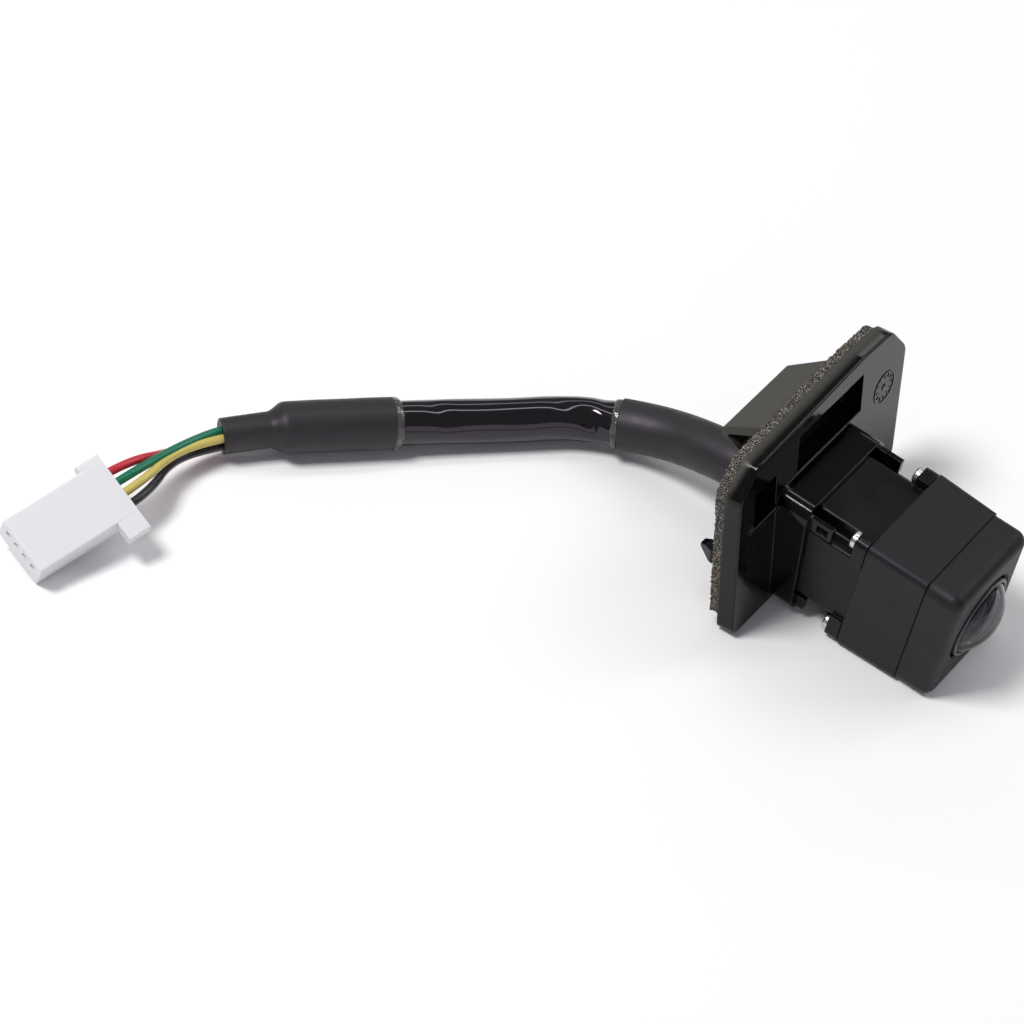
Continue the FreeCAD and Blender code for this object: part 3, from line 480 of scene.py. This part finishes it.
class Line:
    """The smooth line of a route, with the distance along it."""

    def __init__(self, points):
        guide = nurbs_route("route_guide", points)
        mesh = bpy.data.meshes.new_from_object(guide)
        self.points = [v.co.copy() for v in mesh.vertices]
        bpy.data.objects.remove(guide)
        bpy.data.meshes.remove(mesh)
        self.at = [0.0]
        for before, after in zip(self.points, self.points[1:]):
            self.at.append(self.at[-1] + (after - before).length)
        self.length = self.at[-1]
        self.sides = self.carried_sides()

    def carried_sides(self):
        """One sideways direction per point, carried along without twist."""
        sides = []
        side = Vector((0, 0, 1))
        for i in range(len(self.points)):
            ahead = self.direction(i)
            side = (side - ahead * side.dot(ahead)).normalized()
            sides.append(side)
        return sides

    def direction(self, i):
        first, last = max(i - 1, 0), min(i + 1, len(self.points) - 1)
        return (self.points[last] - self.points[first]).normalized()

    def frame(self, distance):
        """Point, direction, up and across at a distance along the line."""
        distance = min(max(distance, 0.0), self.length)
        i = 0
        while i < len(self.at) - 2 and self.at[i + 1] < distance:
            i += 1
        share = (distance - self.at[i]) / (self.at[i + 1] - self.at[i])
        point = self.points[i].lerp(self.points[i + 1], share)
        ahead = (self.direction(i) * (1 - share) + self.direction(i + 1) * share).normalized()
        up = self.sides[i].lerp(self.sides[i + 1], share)
        up = (up - ahead * up.dot(ahead)).normalized()
        return point, ahead, up, ahead.cross(up)


def steps(start, end, pitch):
    count = max(1, round((end - start) / pitch))
    return [start + (end - start) * n / count for n in range(count + 1)]


def skin(bm, line, profile, radius_at, segments):
    """A closed round skin along the line. profile holds (distance, shrink) for each ring;
    radius_at(distance, angle) is the radius before the shrink is taken off."""
    rings = []
    for distance, shrink in profile:
        point, ahead, up, across = line.frame(distance)
        ring = []
        for k in range(segments):
            angle = 2 * math.pi * k / segments
            radius = radius_at(distance, angle) - shrink
            ring.append(bm.verts.new(point + (up * math.cos(angle) + across * math.sin(angle)) * radius))
        rings.append(ring)
    for first, second in zip(rings, rings[1:]):
        for k in range(segments):
            m = (k + 1) % segments
            bm.faces.new((first[k], first[m], second[m], second[k]))
    for ring in (rings[0], rings[-1]):
        bm.faces.new(ring)


def sleeve_profile(start, end, wall):
    """Rings with a rounded cut edge at both ends."""
    pitch = 0.0003
    lip = [(0.0, wall), (0.0, wall * 0.35), (0.00008, wall * 0.12), (0.0002, 0.0)]
    rings = [(start + d, s) for d, s in lip]
    rings += [(d, 0.0) for d in steps(start + pitch, end - pitch, pitch)]
    rings += [(end - d, s) for d, s in reversed(lip)]
    return rings


def bell(x, width):
    return math.exp(-(x / width) ** 2)


def ramp(x, start, end):
    """0 before start, 1 after end, smooth between."""
    t = min(max((x - start) / (end - start), 0.0), 1.0)
    return t * t * (3 - 2 * t)


# ---- pigtail ------------------------------------------------------------------------------
def jacket_radius(distance, angle):
    """Round but slightly uneven, with a few soft creases."""
    radius = CABLE_D / 2 - 0.00006
    for place, facing, half_length, depth in CREASES:
        slant = place + (math.cos(angle - facing - 0.8) - 0.7) * half_length
        round_it = bell(2 * math.sin((angle - facing) / 2), CREASE_SPREAD)
        radius -= depth * bell(distance - slant, half_length) * round_it
    wander = noise.noise(Vector((math.cos(angle) * 1.3, math.sin(angle) * 1.3, distance * 90)))
    return radius + 0.00012 * wander


def make_jacket(line, materials):
    def build(bm):
        profile = [(d, 0.0) for d in steps(0.0, TUBE_END, 0.0004)]
        skin(bm, line, profile, jacket_radius, JACKET_SEGMENTS)
    piece = mesh_from("cable_jacket", build)
    return finish_piece(piece, "cable_jacket", materials, "cable_tube")


def first_sleeve_radius(distance, angle):
    radius = SLEEVE_D / 2 - 0.00006
    wander = noise.noise(Vector((math.cos(angle) * 0.9, math.sin(angle) * 0.9, distance * 60)))
    return radius + 0.00008 * wander


def second_sleeve_radius(distance, angle):
    """Wide over the cable; steps down at its end and grips the wires."""
    down = ramp(distance, SECOND_SLEEVE[1] - TAPER * 0.4, SECOND_SLEEVE[1] + TAPER * 0.6)
    wide, narrow = SLEEVE_D / 2 - 0.00006, SLEEVE_TAIL_D / 2 - 0.00005
    narrow += 0.00016 * math.cos(2 * angle + 0.5) - 0.0001
    wrinkle = bell(distance - SECOND_SLEEVE[1], 0.003) * math.cos(5 * angle + 90 * distance)
    wander = noise.noise(Vector((math.cos(angle) * 1.4, math.sin(angle) * 1.4, distance * 120)))
    return wide + (narrow - wide) * down + 0.00006 * wrinkle + 0.00009 * wander


def make_sleeves(line, materials):
    wall = (SLEEVE_D - CABLE_D) / 2
    made = []
    specs = (("shrink_sleeve_camera_end", FIRST_SLEEVE, first_sleeve_radius),
             ("shrink_sleeve_plug_end", (SECOND_SLEEVE[0], line.length), second_sleeve_radius))
    for name, (start, end), radius_at in specs:
        def build(bm, start=start, end=end, radius_at=radius_at):
            skin(bm, line, sleeve_profile(start, end, wall), radius_at, JACKET_SEGMENTS)
        piece = mesh_from(name + "_skin", build)
        made.append(finish_piece(piece, "shrink_sleeve", materials, name))
    return made


def make_adhesive(line, materials):
    """Hot-melt squeezed out at the sleeves' ends, uneven all round."""
    places = ((FIRST_SLEEVE[1], 1), (SECOND_SLEEVE[0], -1))

    def build(bm):
        for number, (place, side) in enumerate(places):
            def lumpy(distance, angle, number=number, place=place):
                out = abs(distance - place) / BEAD_L
                swell = noise.noise(Vector((math.cos(angle) * 2, math.sin(angle) * 2, number * 5.0)))
                reach = 0.00055 + 0.0008 * swell
                return CABLE_D / 2 + 0.00004 + reach * math.sqrt(max(0.0, 1 - out * out))
            ends = sorted((place - side * 0.0001, place + side * BEAD_L))
            profile = [(d, 0.0) for d in steps(*ends, 0.0001)]
            skin(bm, line, profile, lumpy, BEAD_SEGMENTS)
    piece = mesh_from("hot_melt_rings", build)
    return finish_piece(piece, "adhesive", materials, "adhesive_beads")


def make_wire(colour, materials):
    piece = nurbs_route("lead_" + colour, WIRE_ROUTES[colour], WIRE_D / 2)
    return finish_piece(piece, "wire_" + colour, materials, "wire_" + colour)


def make_pigtail(materials):
    line = Line(CABLE_ROUTE)
    jacket = make_jacket(line, materials)
    sleeves = make_sleeves(line, materials)
    beads = make_adhesive(line, materials)
    for colour, points in WIRE_ROUTES.items():
        wire = make_wire(colour, materials)


# ---- foam ---------------------------------------------------------------------------------
def make_foam(materials):
    """The gasket's CAD shape, remeshed finely, slightly swollen and pitted."""
    source = frame["nodes"]["foam_gasket"]
    piece = add_object("foam_ring", source.data.copy())
    remesh = piece.modifiers.new("remesh", "REMESH")
    remesh.mode = "VOXEL"
    remesh.voxel_size = FOAM_VOXEL
    remesh.use_smooth_shade = True
    mesh = bpy.data.meshes.new_from_object(piece.evaluated_get(bpy.context.evaluated_depsgraph_get()))
    bpy.data.objects.remove(piece)
    piece = add_object("foam_ring", mesh)
    normals = [v.normal.copy() for v in mesh.vertices]
    for vertex, normal in zip(mesh.vertices, normals):
        at = vertex.co
        distances, _ = noise.voronoi(at / PORE)
        edge = distances[1] - distances[0]
        pit = min(edge / 0.5, 1.0)
        swell = noise.noise(at / 0.006)
        vertex.co = at + normal * (0.00012 + 0.00015 * swell - PIT_DEPTH * pit)
    return finish_piece(piece, "gasket_foam", materials, "foam_gasket")


# ---- lens and plate details ---------------------------------------------------------------
def turned(name, profile):
    """A closed ring or disc turned about the optical axis from (radius, y) points in mm."""
    def build(bm):
        rings = []
        for radius, y in profile:
            if radius == 0:
                rings.append([bm.verts.new((AXIS[0], y * MM, AXIS[1]))])
                continue
            rings.append([bm.verts.new((AXIS[0] + radius * MM * math.cos(turn), y * MM,
                                        AXIS[1] + radius * MM * math.sin(turn)))
                          for turn in steps(0.0, 2 * math.pi, 2 * math.pi / TURNS)[:-1]])
        pairs = list(zip(rings, rings[1:]))
        if len(rings[0]) > 1:
            pairs.append((rings[-1], rings[0]))
        for first, second in pairs:
            for k in range(TURNS):
                m = (k + 1) % TURNS
                corners = [first[k % len(first)], first[m % len(first)],
                           second[m % len(second)], second[k % len(second)]]
                distinct = list(dict.fromkeys(corners))
                if len(distinct) > 2:
                    bm.faces.new(distinct)
    return mesh_from(name, build)


def make_inner_lens(materials):
    """What shows through the dome: stepped black baffle and the small coated front element."""
    baffle = turned("lens_baffle", BAFFLE)
    finish_piece(baffle, "barrel_metal", materials)
    glass = turned("front_element", ELEMENT)
    finish_piece(glass, "filter_glass", materials)
    glass.data.materials.clear()
    glass.data.materials.append(coated_glass("coated_glass"))


def on_plate(x, z, proud):
    """A point that stands proud of the plate's face, x and z from its left foot."""
    return PLATE_FRAME @ Vector((x, -proud, z))


def make_date_dial(materials):
    """A moulder's date dial: a raised ring, twelve ticks and a round boss."""
    cx, cz = DIAL

    def raised(bm, outline):
        top = [bm.verts.new(on_plate(x, z, DIAL_RELIEF)) for x, z in outline]
        foot = [bm.verts.new(on_plate(x, z, -DIAL_RELIEF)) for x, z in outline]
        bm.faces.new(top)
        bm.faces.new(foot[::-1])
        for k in range(len(outline)):
            m = (k + 1) % len(outline)
            bm.faces.new((top[m], top[k], foot[k], foot[m]))

    def sector(bm, inner, outer, start, end):
        turns = [start + (end - start) * n / 2 for n in range(3)]
        outline = [(cx + outer * math.cos(t), cz + outer * math.sin(t)) for t in turns]
        outline += [(cx + inner * math.cos(t), cz + inner * math.sin(t)) for t in reversed(turns)]
        raised(bm, outline)

    def build(bm):
        sectors = 2 * DIAL_TICKS
        arc = 2 * math.pi / sectors
        for n in range(sectors):
            sector(bm, DIAL_R * 0.91, DIAL_R, n * arc, (n + 1) * arc)
            sector(bm, DIAL_R * 0.02, DIAL_R * 0.2, n * arc, (n + 1) * arc)
        for n in range(DIAL_TICKS):
            middle = 2 * n * arc
            sector(bm, DIAL_R * 0.62, DIAL_R * 0.82, middle - TICK_HALF_ANGLE, middle + TICK_HALF_ANGLE)
    dial = mesh_from("mould_date_dial", build)
    for face in dial.data.polygons:
        face.use_smooth = False
    finish_piece(dial, "bracket_gloss", materials)


# ---- stage --------------------------------------------------------------------------------
def make_floor():
    def build(bm):
        half = FLOOR_HALF
        corners = [(-half, -half, 0), (half, -half, 0), (half, half, 0), (-half, half, 0)]
        bm.faces.new([bm.verts.new(c) for c in corners])
    floor = mesh_from("floor", build)
    floor.location.z = -FLOOR_DROP
    material, shader = new_material("studio_floor", Roughness=0.9, Specular_IOR_Level=0.1)
    cloud = noise_of(material, 0.4)
    set_colour(material, shader, cloud, grey(0.93), grey(0.95))
    floor.data.materials.append(material)


def add_area(name, place, target, size, power, along=(0, 0, 1), colour=(1, 1, 1)):
    """An area light at place, facing target, with its second side along a direction."""
    data = bpy.data.lights.new(name, "AREA")
    data.shape = "RECTANGLE"
    data.size, data.size_y = size
    data.energy = power
    data.color = colour
    lamp = bpy.data.objects.new(name, data)
    back = (Vector(place) - Vector(target)).normalized()
    side = Vector(along).cross(back).normalized()
    axes = Matrix((side, back.cross(side), back)).transposed().to_4x4()
    lamp.matrix_world = Matrix.Translation(place) @ axes
    bpy.context.scene.collection.objects.link(lamp)


def make_lights():
    """A dim room, a key and a fill softbox, two long strips that run along the pigtail and a
    low card on the left that shows in the upright glossy faces."""
    world = bpy.data.worlds.new("studio")
    world.use_nodes = True
    background = world.node_tree.nodes["Background"]
    background.inputs["Color"].default_value = (0.98, 0.94, 1.04, 1)
    background.inputs["Strength"].default_value = WORLD_STRENGTH
    bpy.context.scene.world = world
    add_area("key_softbox", (-0.5, 0.5, 1.1), LIGHT_TARGET, (0.35, 0.35), KEY_POWER)
    add_area("fill_softbox", (0.9, -0.5, 0.9), LIGHT_TARGET, (0.7, 0.7), FILL_POWER)
    for name, place, power in (("near_strip", (0.38, 0.13, 0.9), NEAR_STRIP_POWER),
                               ("far_strip", (0.62, 0.5, 0.5), FAR_STRIP_POWER)):
        add_area(name, place, STRIP_TARGET, STRIP_SIZE, power, along=(-0.79, 0.6, 0))
    add_area("side_card", (-0.85, -0.75, 0.32), LIGHT_TARGET, (1.2, 0.5), CARD_POWER,
             colour=(0.98, 0.92, 1.0))
    bpy.context.scene.view_settings.view_transform = "Standard"


# ---- build --------------------------------------------------------------------------------
def dress_nodes(materials):
    for part in frame["record"]["subparts"]:
        node = frame["nodes"][part["node"]]
        dress(node, part["material_slot"], materials)


def main():
    make_camera()
    materials = make_materials()
    make_pigtail(materials)
    dress_nodes(materials)
    make_foam(materials)
    make_inner_lens(materials)
    make_date_dial(materials)
    make_floor()
    make_lights()


main()
